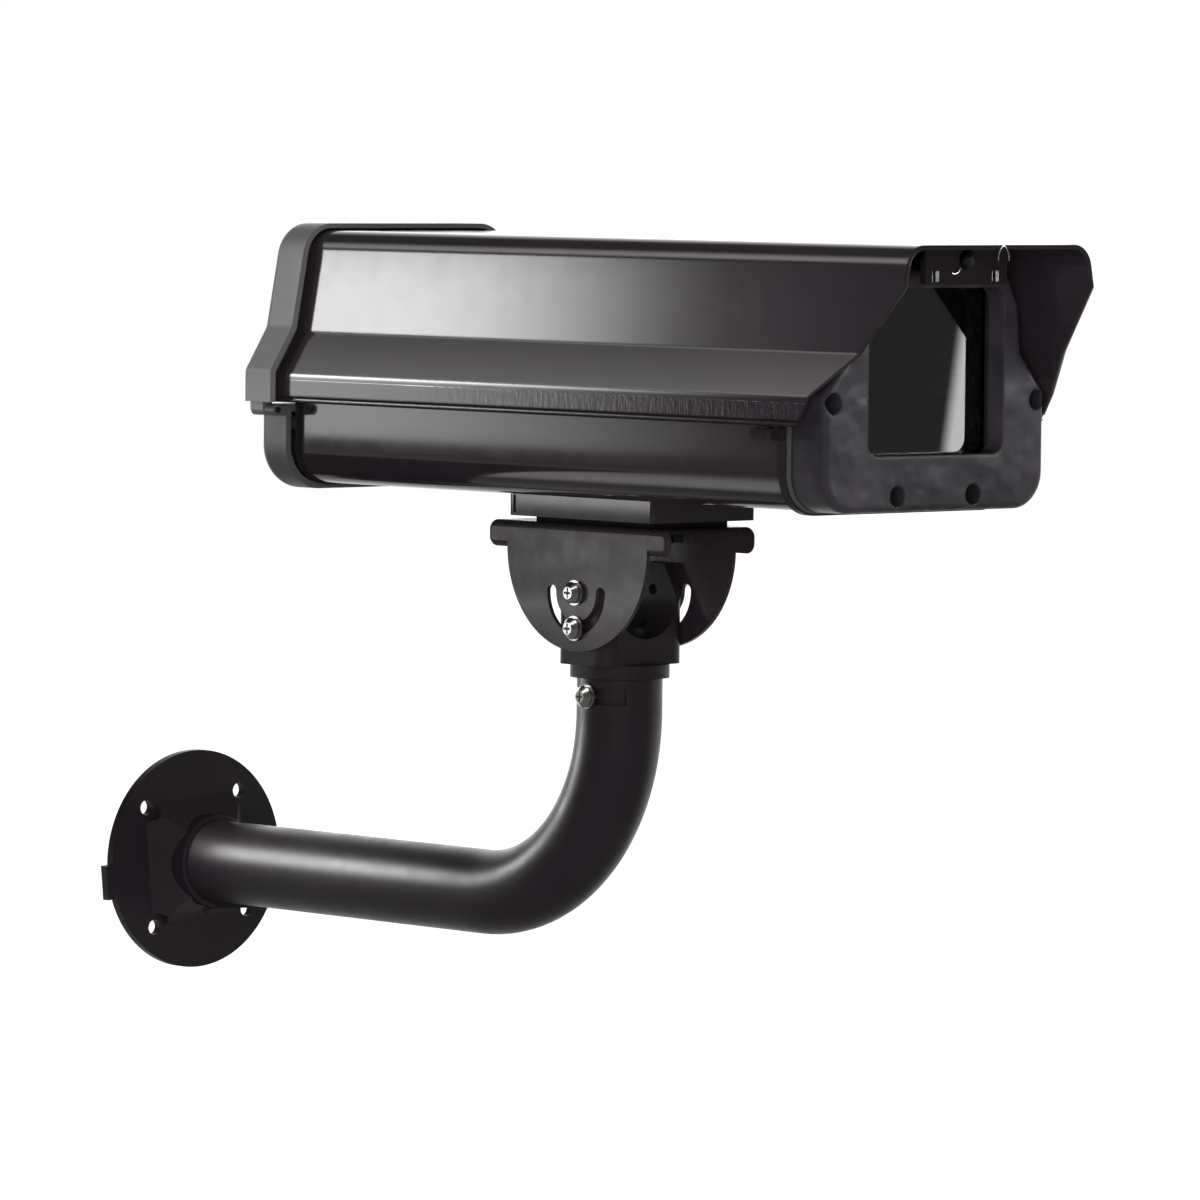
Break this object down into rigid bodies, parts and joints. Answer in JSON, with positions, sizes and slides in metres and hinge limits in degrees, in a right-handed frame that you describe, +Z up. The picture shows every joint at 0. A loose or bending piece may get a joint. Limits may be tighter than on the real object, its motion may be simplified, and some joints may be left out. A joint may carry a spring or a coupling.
{
  "type": "security camera housing",
  "caption": "Black camera housing with a sun visor, glass window and side-opening cover, on a tilting and turning head at the end of a bent tube wall bracket.",
  "frame": {"origin": "centre of the wall plate's back face, on the axis of the bracket tube where it meets the wall", "axes": "+Z up, -Y straight out of the wall and towards the housing's window, +X to the right as seen by someone who faces the window from inside the housing's line of sight, that is on the side away from the cover's hinge"},
  "size_m": [0.1624, 0.5239, 0.3506],
  "materials": {
    "cast_aluminium_black": "satin black powder coat",
    "tube_aluminium_black": "smooth satin black coat",
    "extruded_aluminium_black": "fine textured black powder coat",
    "sheet_steel_black": "satin black coat",
    "moulded_black": "lightly textured",
    "moulded_grey": "satin dark grey",
    "gland_plastic": "matt",
    "seal_rubber": "matt",
    "pale_gasket": "matt",
    "window": "polished",
    "stainless": "bright",
    "dark_screw": "blackened",
    "knob": "satin",
    "bare_aluminium": "mill finish"
  },
  "bodies": {
    "arm": {"wall_plate": "cast_aluminium_black", "arm_tube": "tube_aluminium_black", "collar_set_screw": "stainless"},
    "head": {"head_casting": "cast_aluminium_black", "tilt_pivot_screws": "stainless", "tilt_lock_screws": "stainless", "tilt_washers": "stainless", "pan_lock_screw": "stainless", "pan_lock_washer": "stainless"},
    "housing": {"yoke": "sheet_steel_black", "yoke_pad": "seal_rubber", "mount_rail": "extruded_aluminium_black", "rail_bolts": "stainless", "rail_washers": "stainless", "rail_bushes": "stainless", "housing_body": "extruded_aluminium_black", "rim_seals": "seal_rubber", "front_flange": "cast_aluminium_black", "flange_screws": "stainless", "front_gasket": "pale_gasket", "bezel": "moulded_black", "bezel_screws": "dark_screw", "window_glass": "window", "glass_front_gasket": "seal_rubber", "glass_rear_gasket": "seal_rubber", "glass_clamp": "sheet_steel_black", "rear_gasket": "seal_rubber", "rear_plate": "extruded_aluminium_black", "rear_cap_lower": "moulded_grey", "lower_cap_screws": "stainless", "gland_bodies": "gland_plastic", "gland_lock_nuts": "gland_plastic", "gland_caps": "gland_plastic", "gland_plugs": "gland_plastic", "screw_lugs": "sheet_steel_black", "lug_rivets": "stainless", "hinge_pins": "cast_aluminium_black", "tray_clamp_screws": "knob"},
    "tray": {"camera_tray": "bare_aluminium", "camera_screw": "stainless"},
    "lid": {"cover": "extruded_aluminium_black", "rear_cap_upper": "moulded_grey", "cap_seal": "seal_rubber", "upper_cap_screws": "stainless", "cover_thumb_screws": "knob", "front_hinge_ear": "cast_aluminium_black", "visor_strip": "sheet_steel_black", "strip_screw": "dark_screw", "strip_clips": "stainless", "strip_hook": "stainless", "wire_clip": "stainless"}
  },
  "joints": [
    {"name": "head_pan", "type": "hinge", "parent": "arm", "child": "head", "pos_m": [0, -0.2925, 0.102], "axis": [0, 0, 1], "range_deg": [-45, 45]},
    {"name": "yoke_tilt", "type": "hinge", "parent": "head", "child": "housing", "pos_m": [0, -0.2925, 0.14], "axis": [1, 0, 0], "range_deg": [-45, 80]},
    {"name": "cover_hinge", "type": "hinge", "parent": "housing", "child": "lid", "pos_m": [-0.0745, -0.2925, 0.2162], "axis": [0, -1, 0], "range_deg": [0, 100]},
    {"name": "tray_slide", "type": "slide", "parent": "housing", "child": "tray", "axis": [0, -1, 0], "range_m": [-0.02, 0.02]}
  ]
}
